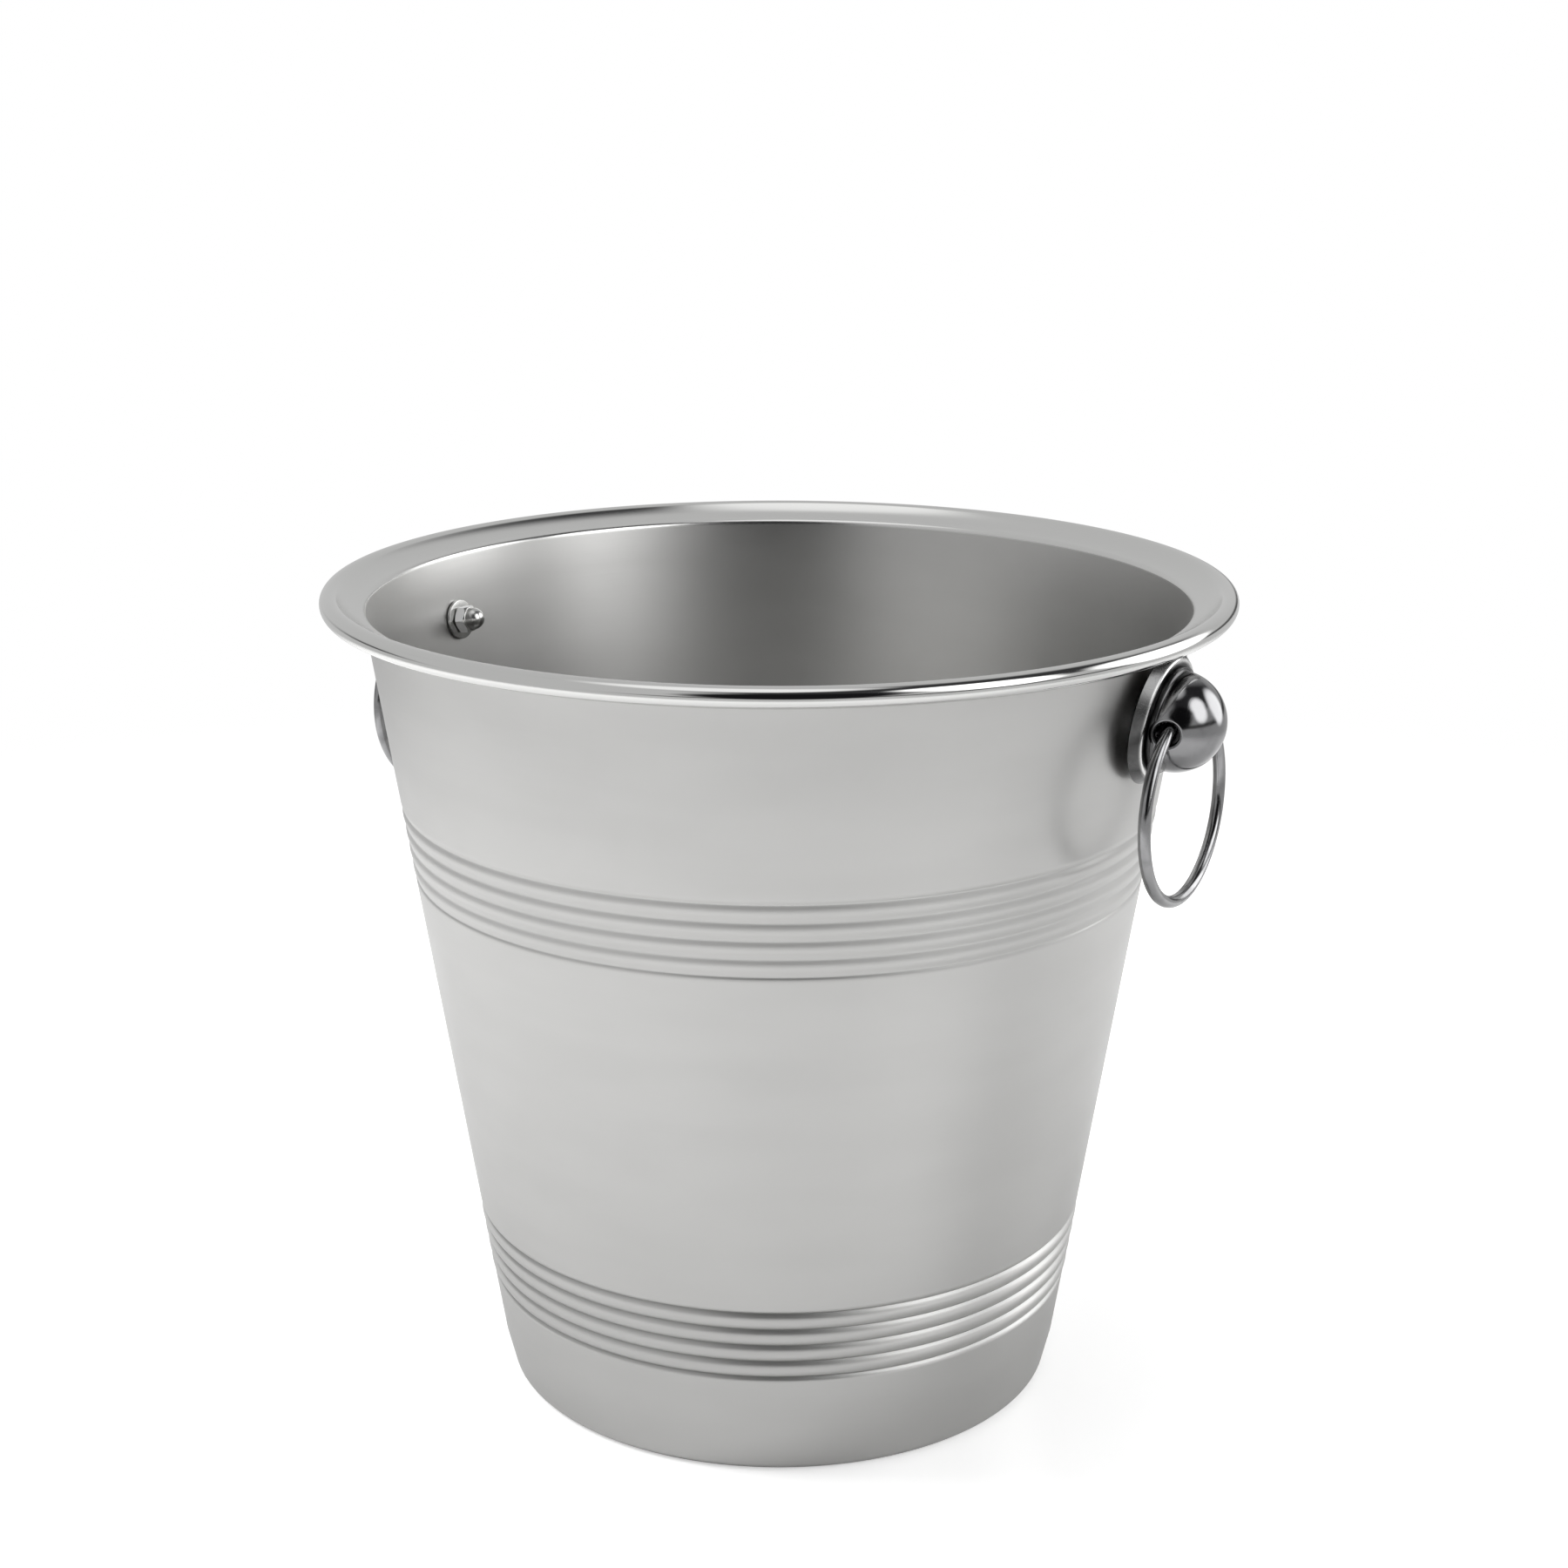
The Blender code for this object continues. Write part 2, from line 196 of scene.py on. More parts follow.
def turning_tree():
    """Turns the object's own points, in X and Z, about the Z axis."""
    tree, given, made = new_group(
        "turn_a_section",
        "GeometryNodeTree",
        [
            ("Section", "NodeSocketGeometry", None),
            ("Segments", "NodeSocketInt", 64),
            ("Metal", "NodeSocketMaterial", None),
        ],
        [("Turned", "NodeSocketGeometry")],
    )
    count = add_node(tree, "GeometryNodeAttributeDomainSize", {0: given.outputs["Section"]})
    points = count.outputs["Point Count"]
    rows = math_node(tree, "ADD", given.outputs["Segments"], 1.0)
    grid = add_node(tree, "GeometryNodeMeshGrid", {"Vertices X": rows, "Vertices Y": points})
    index = add_node(tree, "GeometryNodeInputIndex").outputs[0]
    row = math_node(tree, "FLOOR", math_node(tree, "DIVIDE", index, points))
    column = math_node(tree, "SUBTRACT", index, math_node(tree, "MULTIPLY", row, points))
    sample = add_node(
        tree,
        "GeometryNodeSampleIndex",
        {
            "Geometry": given.outputs["Section"],
            "Value": add_node(tree, "GeometryNodeInputPosition").outputs[0],
            "Index": column,
        },
        data_type="FLOAT_VECTOR",
    )
    turn = math_node(tree, "DIVIDE", row, given.outputs["Segments"])
    angle = math_node(tree, "MULTIPLY", turn, 2 * math.pi)
    section = add_node(tree, "ShaderNodeSeparateXYZ", {0: sample.outputs[0]})
    place = add_node(
        tree,
        "ShaderNodeCombineXYZ",
        {
            "X": math_node(tree, "MULTIPLY", section.outputs["X"], math_node(tree, "COSINE", angle)),
            "Y": math_node(tree, "MULTIPLY", section.outputs["X"], math_node(tree, "SINE", angle)),
            "Z": section.outputs["Z"],
        },
    )
    moved = add_node(
        tree, "GeometryNodeSetPosition", {"Geometry": grid.outputs[0], "Position": place.outputs[0]}
    )
    sewn = add_node(
        tree, "GeometryNodeMergeByDistance", {"Geometry": moved.outputs[0], "Distance": 1e-6}
    )
    finish_tree(tree, sewn.outputs[0], given.outputs["Metal"], made)
    return tree


def wire_ring_tree():
    """A round wire bent into a ring in the X-Y plane."""
    tree, given, made = new_group(
        "bend_a_wire_ring",
        "GeometryNodeTree",
        [
            ("Blank", "NodeSocketGeometry", None),
            ("Ring Radius", "NodeSocketFloat", 0.02),
            ("Wire Radius", "NodeSocketFloat", 0.001),
            ("Metal", "NodeSocketMaterial", None),
        ],
        [("Ring", "NodeSocketGeometry")],
    )
    path = add_node(
        tree,
        "GeometryNodeCurvePrimitiveCircle",
        {"Resolution": 160, "Radius": given.outputs["Ring Radius"]},
    )
    wire = add_node(
        tree,
        "GeometryNodeCurvePrimitiveCircle",
        {"Resolution": 28, "Radius": given.outputs["Wire Radius"]},
    )
    swept = add_node(
        tree,
        "GeometryNodeCurveToMesh",
        {"Curve": path.outputs[0], "Profile Curve": wire.outputs[0]},
    )
    finish_tree(tree, swept.outputs[0], given.outputs["Metal"], made)
    return tree


def finish_tree(tree, geometry, metal, made):
    smooth = add_node(tree, "GeometryNodeSetShadeSmooth", {"Geometry": geometry})
    real = add_node(tree, "GeometryNodeRealizeInstances", {0: smooth.outputs[0]})
    coat = add_node(
        tree, "GeometryNodeSetMaterial", {"Geometry": real.outputs[0], "Material": metal}
    )
    tree.links.new(coat.outputs[0], made.inputs[0])


def socket_id(tree, label):
    for item in tree.interface.items_tree:
        if item.in_out == "INPUT" and item.name == label:
            return item.identifier
    raise KeyError(label)


# ---------------------------------------------------------------- mesh helpers


def arc(centre, radius, start, end, steps):
    """Points from start to end, both ends with it."""
    turn = (end - start) / steps
    return [
        centre + radius * Vector((math.cos(start + i * turn), math.sin(start + i * turn)))
        for i in range(steps + 1)
    ]


def thickened(path, thickness):
    """A wall's section: back along the path's inner side, then down the path itself."""
    inner = []
    last = len(path) - 1
    for i, point in enumerate(path):
        before = (point - path[max(i - 1, 0)]).normalized()
        after = (path[min(i + 1, last)] - point).normalized()
        along = before + after
        along.normalize()
        side = Vector((along.y, -along.x))
        edge = after if i == 0 else before
        mitre = max(side.dot(Vector((edge.y, -edge.x))), 0.5)
        inner.append(point + side * (thickness / mitre))
    return inner[::-1] + list(path)


def add_object(name, mesh):
    thing = bpy.data.objects.new(name, mesh)
    bpy.context.scene.collection.objects.link(thing)
    return thing


def plain_mesh(thing):
    """Makes the object's evaluated result its own mesh, faces outwards, with no modifiers left."""
    bpy.context.view_layer.update()
    graph = bpy.context.evaluated_depsgraph_get()
    mesh = bpy.data.meshes.new_from_object(thing.evaluated_get(graph))
    shape = bmesh.new()
    shape.from_mesh(mesh)
    loose = [edge for edge in shape.edges if not edge.link_faces]
    bmesh.ops.delete(shape, geom=loose, context="EDGES")
    if shape.calc_volume(signed=True) < 0:
        bmesh.ops.reverse_faces(shape, faces=shape.faces)
    shape.to_mesh(mesh)
    shape.free()
    thing.modifiers.clear()
    thing.data = mesh
    return thing


def run_tree(name, mesh, tree, values):
    """An object with the tree's result as its plain mesh."""
    thing = add_object(name, mesh)
    step = thing.modifiers.new("Make", "NODES")
    step.node_group = tree
    for label, value in values.items():
        step[socket_id(tree, label)] = value
    return plain_mesh(thing)


def turned(name, section, segments, metal):
    mesh = bpy.data.meshes.new(name)
    mesh.from_pydata([(x, 0.0, z) for x, z in section], [], [])
    return run_tree(name, mesh, TURN, {"Segments": segments, "Metal": metal})


def cut(thing, operation, others):
    """Applies a Boolean with each of the other objects, which are then removed."""
    for other in others:
        step = thing.modifiers.new("Cut", "BOOLEAN")
        step.operation = operation
        step.solver = "EXACT"
        step.object = other
    plain_mesh(thing)
    for other in others:
        bpy.data.objects.remove(other)
    return thing


def shade(thing, angle):
    thing.data.shade_smooth()
    thing.data.set_sharp_from_angle(angle=math.radians(angle))


def handle_frame(word):
    """Z along the wall's outward normal at the handle, X down the wall."""
    joint = next(j for j in frame["joints"] if j["name"] == word + "_ring_swing")
    half_turn = Matrix.Rotation(0.0 if SIDES[word] > 0 else math.pi, 4, "Z")
    lean = Matrix.Rotation(math.pi / 2 + WALL_LEAN, 4, "Y")
    back = Matrix.Translation((0.0, 0.0, -PIVOT_OUT))
    return Matrix.Translation(joint["pos_m"]) @ half_turn @ lean @ back


# ---------------------------------------------------------------- materials


def turned_grain_group():
    """Fine lines left by polishing round the Z axis, with broader soft bands of polish."""
    tree, given, made = new_group(
        "turned_grain",
        "ShaderNodeTree",
        [
            ("Line Spacing", "NodeSocketFloat", 0.4 * MM),
            ("Band Height", "NodeSocketFloat", 9 * MM),
        ],
        [("Lines", "NodeSocketFloat"), ("Bands", "NodeSocketFloat")],
    )
    place = add_node(tree, "ShaderNodeTexCoord").outputs["Object"]
    parts = add_node(tree, "ShaderNodeSeparateXYZ", {0: place})

    def noise(spacing, round_scale, detail):
        stretched = add_node(
            tree,
            "ShaderNodeCombineXYZ",
            {
                "X": math_node(tree, "MULTIPLY", parts.outputs["X"], round_scale),
                "Y": math_node(tree, "MULTIPLY", parts.outputs["Y"], round_scale),
                "Z": math_node(tree, "DIVIDE", parts.outputs["Z"], spacing),
            },
        )
        inputs = {"Vector": stretched.outputs[0], "Scale": 1.0, "Detail": detail}
        return add_node(tree, "ShaderNodeTexNoise", inputs).outputs[0]

    tree.links.new(noise(given.outputs["Line Spacing"], 14.0, 4.0), made.inputs["Lines"])
    tree.links.new(noise(given.outputs["Band Height"], 22.0, 1.0), made.inputs["Bands"])
    return tree


def handling_group():
    """Soft smudges and faint fine scratches, as masks from 0 to 1."""
    tree, given, made = new_group(
        "handling_marks",
        "ShaderNodeTree",
        [
            ("Smudge Size", "NodeSocketFloat", 30 * MM),
            ("Scratch Size", "NodeSocketFloat", 3 * MM),
        ],
        [("Smudges", "NodeSocketFloat"), ("Scratches", "NodeSocketFloat")],
    )
    place = add_node(tree, "ShaderNodeTexCoord").outputs["Object"]
    smudge = add_node(
        tree,
        "ShaderNodeTexNoise",
        {
            "Vector": place,
            "Scale": math_node(tree, "DIVIDE", 1.0, given.outputs["Smudge Size"]),
            "Detail": 3.0,
            "Distortion": 0.4,
        },
    )
    tree.links.new(span(tree, smudge.outputs[0], 0.45, 0.7), made.inputs["Smudges"])
    cells = add_node(
        tree,
        "ShaderNodeTexVoronoi",
        {
            "Vector": place,
            "Scale": math_node(tree, "DIVIDE", 1.0, given.outputs["Scratch Size"]),
        },
        feature="DISTANCE_TO_EDGE",
    )
    tree.links.new(span(tree, cells.outputs[0], 0.0, 0.02, 1.0, 0.0), made.inputs["Scratches"])
    return tree


def groove_group():
    """How deep a point lies in a band of grooves: 1 at the bottom of a groove."""
    tree, given, made = new_group(
        "groove_depth",
        "ShaderNodeTree",
        [("Band Middle", "NodeSocketFloat", 0.1), ("Width", "NodeSocketFloat", 0.4 * MM)],
        [("Depth", "NodeSocketFloat")],
    )
    place = add_node(tree, "ShaderNodeTexCoord").outputs["Object"]
    height = add_node(tree, "ShaderNodeSeparateXYZ", {0: place}).outputs["Z"]
    above = math_node(tree, "SUBTRACT", height, given.outputs["Band Middle"])
    count = math_node(tree, "ROUND", math_node(tree, "DIVIDE", above, BEAD_PITCH))
    nearest = math_node(tree, "MULTIPLY", count, BEAD_PITCH)
    off_groove = math_node(tree, "ABSOLUTE", math_node(tree, "SUBTRACT", above, nearest))
    wide = math_node(tree, "MULTIPLY", given.outputs["Width"], 2.0)
    near = span(tree, math_node(tree, "DIVIDE", off_groove, wide), 0.0, 1.0, 1.0, 0.0)
    half_band = BEAD_PITCH * GROOVES / 2
    inside = math_node(tree, "LESS_THAN", math_node(tree, "ABSOLUTE", above), half_band)
    tree.links.new(math_node(tree, "MULTIPLY", near, inside), made.inputs["Depth"])
    return tree


def new_material(name):
    material = bpy.data.materials.new(name)
    material.use_nodes = True
    tree = material.node_tree
    surface = tree.nodes["Principled BSDF"]
    surface.inputs["Metallic"].default_value = 1.0
    return material, tree, surface


def group_node(tree, group, **values):
    node = tree.nodes.new("ShaderNodeGroup")
    node.node_tree = group
    for label, value in values.items():
        node.inputs[label.replace("_", " ")].default_value = value
    return node


def mixed(tree, *weighted):
    """The sum of a base number and values times their weights."""
    total = weighted[0]
    for value, weight in weighted[1:]:
        total = math_node(tree, "ADD", total, math_node(tree, "MULTIPLY", value, weight))
    return total


def add_bump(tree, surface, height, distance, strength):
    inputs = {"Height": height, "Distance": distance, "Strength": strength}
    bump = add_node(tree, "ShaderNodeBump", inputs)
    tree.links.new(bump.outputs[0], surface.inputs["Normal"])


def satin_pail_metal():
    """Satin wall that turns to a polished lip above the throat, with painted shade in the grooves and
    under the lip.
    """
    material, tree, surface = new_material("satin_steel_with_polished_lip")
    grain = group_node(tree, GRAIN, Line_Spacing=0.35 * MM, Band_Height=11 * MM)
    marks = group_node(tree, HANDLING, Smudge_Size=45 * MM, Scratch_Size=9 * MM)
    low = group_node(tree, GROOVE, Band_Middle=LOWER_BAND_Z, Width=0.42 * MM)
    high = group_node(tree, GROOVE, Band_Middle=UPPER_BAND_Z, Width=0.36 * MM)
    place = add_node(tree, "ShaderNodeTexCoord").outputs["Object"]
    height = add_node(tree, "ShaderNodeSeparateXYZ", {0: place}).outputs["Z"]
    lip = span(tree, height, THROAT_Z - 0.4 * MM, THROAT_Z + 0.6 * MM)
    satin = math_node(tree, "SUBTRACT", 1.0, lip)
    flat = add_node(tree, "ShaderNodeVectorMath", {0: place, 1: (1.0, 1.0, 0.0)}, operation="MULTIPLY")
    reach = add_node(tree, "ShaderNodeVectorMath", {0: flat.outputs[0]}, operation="LENGTH")
    inner = span(tree, reach.outputs["Value"], COVE_POLISH[0], COVE_POLISH[1], 1.0, 0.0)
    cove = math_node(tree, "MULTIPLY", lip, inner)
    under_lip_shade = add_node(tree, "ShaderNodeAttribute", attribute_name="painted_shade_under_lip").outputs["Fac"]
    # Painted shade: darker and rougher in the grooves, mostly the lower band, and under the lip.
    painted_shade = mixed(tree, 0.0, (low.outputs[0], 0.28), (high.outputs[0], 0.04), (under_lip_shade, 0.9))
    tone = span(tree, grain.outputs["Bands"], 0.3, 0.7)
    wall = blend(tree, tone, WALL_DULL, WALL_CLEAR)
    wall = blend(tree, lip, wall, LIP_METAL)
    wall = blend(tree, painted_shade, wall, WALL_PAINTED_SHADE)
    tree.links.new(wall, surface.inputs["Base Color"])
    rough = mixed(
        tree,
        0.07,
        (satin, 0.28),
        (cove, 0.14),
        (math_node(tree, "MULTIPLY", satin, grain.outputs["Lines"]), 0.06),
        (marks.outputs["Smudges"], 0.03),
        (painted_shade, 0.10),
    )
    tree.links.new(rough, surface.inputs["Roughness"])
    relief = math_node(tree, "MULTIPLY", satin, grain.outputs["Lines"])
    add_bump(tree, surface, relief, 0.02 * MM, 0.5)
    return material


def polished_metal(name, light, dark, roughness, smudge, scratch_depth):
    """Polished steel with slight clouding, faint scratches, a painted edge highlight and painted shade
    in its corners.
    """
    material, tree, surface = new_material(name)
    marks = group_node(tree, HANDLING, Smudge_Size=7 * MM, Scratch_Size=2.6 * MM)
    # Painted highlight on the marked edge and painted shade in the marked corners.
    edge_highlight = add_node(tree, "ShaderNodeAttribute", attribute_name="painted_edge_highlight").outputs["Fac"]
    corner_shade = add_node(tree, "ShaderNodeAttribute", attribute_name="painted_corner_shade").outputs["Fac"]
    colour = blend(tree, marks.outputs["Smudges"], light, dark)
    colour = blend(tree, edge_highlight, colour, PAINTED_EDGE_HIGHLIGHT)
    colour = blend(tree, corner_shade, colour, PAINTED_CORNER_SHADE)
    tree.links.new(colour, surface.inputs["Base Color"])
    rough = mixed(
        tree,
        roughness,
        (marks.outputs["Smudges"], smudge),
        (marks.outputs["Scratches"], 0.05),
        (edge_highlight, -0.06),
        (corner_shade, 0.12),
    )
    tree.links.new(rough, surface.inputs["Roughness"])
    add_bump(tree, surface, marks.outputs["Scratches"], -0.01 * MM, scratch_depth)
    return material


# ---------------------------------------------------------------- the pail


def wall_radius(z):
    return WALL_FOOT_RADIUS + WALL_TAPER * z


def lip_path():
    """The lip's hidden side, from the curled end to the top of the outer wall."""
    curl = arc(ROLL_CENTRE, ROLL_RADIUS - SHEET, ROLL_START, ROLL_END, 34)
    steep = Vector((math.cos(ROLL_END), math.sin(ROLL_END)))
    flat = Vector((math.sin(COVE_FLATTEST), -math.cos(COVE_FLATTEST)))
    inward = Vector((-math.cos(WALL_LEAN), math.sin(WALL_LEAN)))
    edge = ROLL_CENTRE + ROLL_RADIUS * steep
    start = edge + THROAT_RADIUS * (flat + inward)
    cove = steep + flat
    inner_foot = WALL_FOOT_RADIUS - SHEET / math.cos(WALL_LEAN)
    cove_radius = (inner_foot + WALL_TAPER * start.y - start.x) / (cove.x - WALL_TAPER * cove.y)
    cove_centre = edge + cove_radius * steep
    throat_centre = cove_centre + (cove_radius + THROAT_RADIUS) * flat
    flat_angle = COVE_FLATTEST - math.pi / 2
    hidden_cove = arc(cove_centre, cove_radius + SHEET, ROLL_END - math.pi, flat_angle, 14)
    hidden_throat = arc(
        throat_centre, THROAT_RADIUS - SHEET, flat_angle + math.pi, math.pi - WALL_LEAN, 10
    )
    return curl + hidden_cove[1:] + hidden_throat[1:]


def wall_point(z, proud):
    """A point on the outer wall, moved out along the wall's normal."""
    return Vector((wall_radius(z) + proud * math.cos(WALL_LEAN), z))


def bead_path(middle, depth, crease):
    """A band of grooves down the wall, with round ribs between them and soft outer flanks."""
    steps = 14
    flank = BEAD_PITCH * 0.36
    first = middle + BEAD_PITCH * (GROOVES - 1) / 2
    last = middle - BEAD_PITCH * (GROOVES - 1) / 2
    path = []
    for i in range(7):
        along = i / 7
        path.append(wall_point(first + flank * (1 - along), -depth * along**2.4))
    for rib in range(GROOVES - 1):
        top = first - rib * BEAD_PITCH
        for i in range(steps):
            along = i / steps
            rise = (4 * along * (1 - along)) ** crease
            path.append(wall_point(top - along * BEAD_PITCH, depth * (1.25 * rise - 1)))
    for i in range(8):
        along = i / 7
        path.append(wall_point(last - flank * along, -depth * (1 - along) ** 2.4))
    return path


def base_path():
    """The bottom corner, the flat resting ring and the raised middle, soft at both its bends."""
    radius = BASE_CORNER_RADIUS
    lean = radius * math.tan((math.pi / 2 + WALL_LEAN) / 2)
    corner = arc(Vector((WALL_FOOT_RADIUS - lean, radius)), radius, -WALL_LEAN, -math.pi / 2, 12)
    path = list(corner)
    outer, rise = REST_RING_INNER, BASE_STEP.y
    for i in range(13):
        along = i / 12
        lift = rise * along * along * (3 - 2 * along)
        path.append(Vector((outer + (BASE_STEP.x - outer) * along, lift)))
    for i in range(1, 9):
        path.append(Vector((BASE_STEP.x * (1 - i / 8), rise)))
    return path


def mark_painted_shade_under_lip(mesh):
    """An attribute that is 1 on the lip's hidden underside and inside the curl, where shade is
    painted.
    """
    under_lip_shade = mesh.attributes.new("painted_shade_under_lip", "FLOAT", "POINT")
    for vertex, value in zip(mesh.vertices, under_lip_shade.data):
        reach = vertex.co.xy.length
        from_roll = (Vector((reach, vertex.co.z)) - ROLL_CENTRE).length
        beyond_wall = reach > wall_radius(vertex.co.z) + 0.1 * MM
        hidden = vertex.normal.z < 0.0 and vertex.co.z > THROAT_Z - 1.5 * MM
        outside_roll = from_roll > ROLL_RADIUS + 0.05 * MM
        inside_curl = from_roll < ROLL_RADIUS - 0.4 * MM
        value.value = float(beyond_wall and ((hidden and outside_roll) or inside_curl))


def build_pail(metal):
    path = lip_path()
    path += [wall_point(z, 0.0) for z in PLAIN_WALL_ABOVE]
    path += bead_path(UPPER_BAND_Z, UPPER_DEPTH, UPPER_CREASE)
    path += [wall_point(z, 0.0) for z in PLAIN_WALL_BETWEEN]
    path += bead_path(LOWER_BAND_Z, LOWER_DEPTH, LOWER_CREASE)
    path += [wall_point(z, 0.0) for z in PLAIN_WALL_BELOW]
    path += base_path()
    pail = turned("spun_pail", thickened(path, SHEET), PAIL_SEGMENTS, metal)
    drills = []
    reach = 6 * MM
    hole = [(0.0, -reach), (CLEARANCE_RADIUS, -reach), (CLEARANCE_RADIUS, reach), (0.0, reach)]
    for word in SIDES:
        drill = turned(word + "_drill", hole, 32, metal)
        drill.data.transform(handle_frame(word))
        drills.append(drill)
    cut(pail, "DIFFERENCE", drills)
    shade(pail, 50)
    # Marks the lip's underside and the curl's inside for painted shade.
    mark_painted_shade_under_lip(pail.data)
    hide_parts("bucket_shell")
    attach(pail, "pail")


# ---------------------------------------------------------------- the handles


def plate_section():
    """Dished plate: a flat dimple on the wall, a flat front and a sloping skirt."""
    floor = GAP + PLATE_SHEET
    slope = math.atan2(PLATE_FRONT - PLATE_RIM, PLATE_RADIUS - PLATE_FRONT_RADIUS)
    inset = PLATE_EDGE_ROUND * math.tan(slope / 2)
    corner = Vector((PLATE_FRONT_RADIUS - inset, PLATE_FRONT - PLATE_EDGE_ROUND))
    path = [Vector((CLEARANCE_RADIUS, floor))]
    for i in range(13):
        along = i / 12
        lift = along * along * (3 - 2 * along)
        reach = DIMPLE_FOOT_RADIUS + (DIMPLE_TOP_RADIUS - DIMPLE_FOOT_RADIUS) * along
        path.append(Vector((reach, floor + (PLATE_FRONT - floor) * lift)))
    path += [Vector((DIMPLE_TOP_RADIUS + i * FRONT_STEP, PLATE_FRONT)) for i in range(1, 7)]
    path += arc(corner, PLATE_EDGE_ROUND, math.pi / 2, math.pi / 2 - slope, 10)
    rim = Vector((PLATE_RADIUS, PLATE_RIM))
    path += [path[-1].lerp(rim, along) for along in (0.12, 0.3, 0.6, 1.0)]
    section = thickened(path, PLATE_SHEET)
    return section + section[:1]


def boss_section():
    """Hollow dome that ends in a small flared foot."""
    centre = Vector((0.0, BOSS_CENTRE))
    rise = PLATE_FRONT + GAP + BOSS_SHEET + BOSS_FOOT_FILLET - BOSS_CENTRE
    meeting = math.asin(rise / (BOSS_RADIUS + BOSS_FOOT_FILLET))
    reach = (BOSS_RADIUS + BOSS_FOOT_FILLET) * math.cos(meeting)
    fillet = centre + Vector((reach, rise))
    path = arc(centre, BOSS_RADIUS, math.pi / 2, meeting, 40)
    path += arc(fillet, BOSS_FOOT_FILLET, math.pi + meeting, 1.5 * math.pi, 12)[1:]
    section = [Vector((max(point.x, 0.0), point.y)) for point in thickened(path, BOSS_SHEET)]
    return section + section[:1]


def hole_cutter(name, sign, metal):
    """Flared plug that leaves a round-lipped hole in the dome's side."""
    lip_centre = BOSS_RADIUS - HOLE_LIP + 0.03 * MM
    reach = HOLE_RADIUS + HOLE_LIP
    depth = math.sqrt(lip_centre**2 - reach**2) - BOSS_RADIUS
    section = [Vector((0.0, -4 * MM)), Vector((HOLE_RADIUS, -4 * MM))]
    section += arc(Vector((reach, depth)), HOLE_LIP, math.pi, math.radians(60), 14)
    section += [Vector((reach + HOLE_LIP, 2 * MM)), Vector((0.0, 2 * MM))]
    plug = turned(name, section, 72, metal)
    out = (PIVOT_OUT - BOSS_CENTRE) / BOSS_RADIUS
    way = Vector((0.0, sign * math.sqrt(1 - out**2), out))
    turn = way.to_track_quat("Z", "X").to_matrix().to_4x4()
    plug.data.transform(Matrix.Translation(Vector((0, 0, BOSS_CENTRE)) + BOSS_RADIUS * way) @ turn)
    return plug


def screw_section():
    seat = 2 * GAP + PLATE_SHEET
    top = seat + SCREW_HEAD_HEIGHT
    soft = 0.45 * MM
    section = [Vector((0.0, top))]
    rim = Vector((SCREW_HEAD_RADIUS - 2 * soft, top - 2 * soft))
    section += arc(rim, 2 * soft, math.pi / 2, 0.0, 8)
    section += [Vector((SCREW_HEAD_RADIUS, seat)), Vector((SCREW_RADIUS, seat))]
    section += [Vector((SCREW_RADIUS, SCREW_TIP + soft)), Vector((SCREW_RADIUS - soft, SCREW_TIP))]
    return section + [Vector((0.0, SCREW_TIP))]


def washer_section():
    top = -WASHER_SEAT
    foot = top - WASHER_THICKNESS
    soft = 0.15 * MM
    section = arc(Vector((WASHER_RADIUS - soft, top - soft)), soft, math.pi / 2, 0.0, 4)
    section += arc(Vector((WASHER_RADIUS - soft, foot + soft)), soft, 0.0, -math.pi / 2, 4)
    section += [Vector((CLEARANCE_RADIUS, foot)), Vector((CLEARANCE_RADIUS, top))]
    return section + section[:1]


def build_cap_nut(name, metal):
    """Chamfered hexagon with a domed end, and a blind bore for the screw."""
    top = -WASHER_SEAT - WASHER_THICKNESS - GAP
    corner = NUT_ACROSS_FLATS / 2 / math.cos(math.pi / 6)
    base = top - NUT_HEX_HEIGHT
    dome = Vector((0.0, base - 0.6 * MM))
    chamfer, neck = 0.35 * MM, 0.25 * MM
    flat_reach = NUT_ACROSS_FLATS / 2 - 0.05 * MM
    corner_reach = corner + 0.02 * MM
    outline = [
        Vector((0.0, top)),
        Vector((flat_reach, top)),
        Vector((corner_reach, top - chamfer)),
        Vector((corner_reach, base + 2 * chamfer)),
        Vector((flat_reach, base)),
        Vector((NUT_DOME_RADIUS + neck, base)),
    ]
    neck_centre = Vector((NUT_DOME_RADIUS + neck, base - neck))
    outline += arc(neck_centre, neck, math.pi / 2, math.pi, 5)
    outline += arc(dome, NUT_DOME_RADIUS, 0.0, -math.pi / 2, 20)
    nut = turned(name, outline, 72, metal)
    shape = bmesh.new()
    bmesh.ops.create_cone(
        shape, cap_ends=True, segments=6, radius1=corner, radius2=corner, depth=20 * MM
    )
    hexagon = add_object(name + "_hexagon", bpy.data.meshes.new(name + "_hexagon"))
    shape.to_mesh(hexagon.data)
    shape.free()
    cut(nut, "INTERSECT", [hexagon])
    mouth, end = top + MM, SCREW_TIP - GAP
    bore = [(0.0, mouth), (CLEARANCE_RADIUS, mouth), (CLEARANCE_RADIUS, end), (0.0, end)]
    return cut(nut, "DIFFERENCE", [turned(name + "_bore", bore, 32, metal)])


def mark_round(thing, label, middle, width):
    """An attribute that is 1 near a circle of the turned piece and 0 a width away from it."""
    mark = thing.data.attributes.new(label, "FLOAT", "POINT")
    for vertex, value in zip(thing.data.vertices, mark.data):
        off = (Vector((vertex.co.xy.length, vertex.co.z)) - middle).length
        value.value = min(1.0, 1.5 * max(0.0, 1.0 - off / width))


def place(piece, matrix, node, body, slot):
    piece.data.transform(matrix)
    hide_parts(node)
    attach(piece, body)


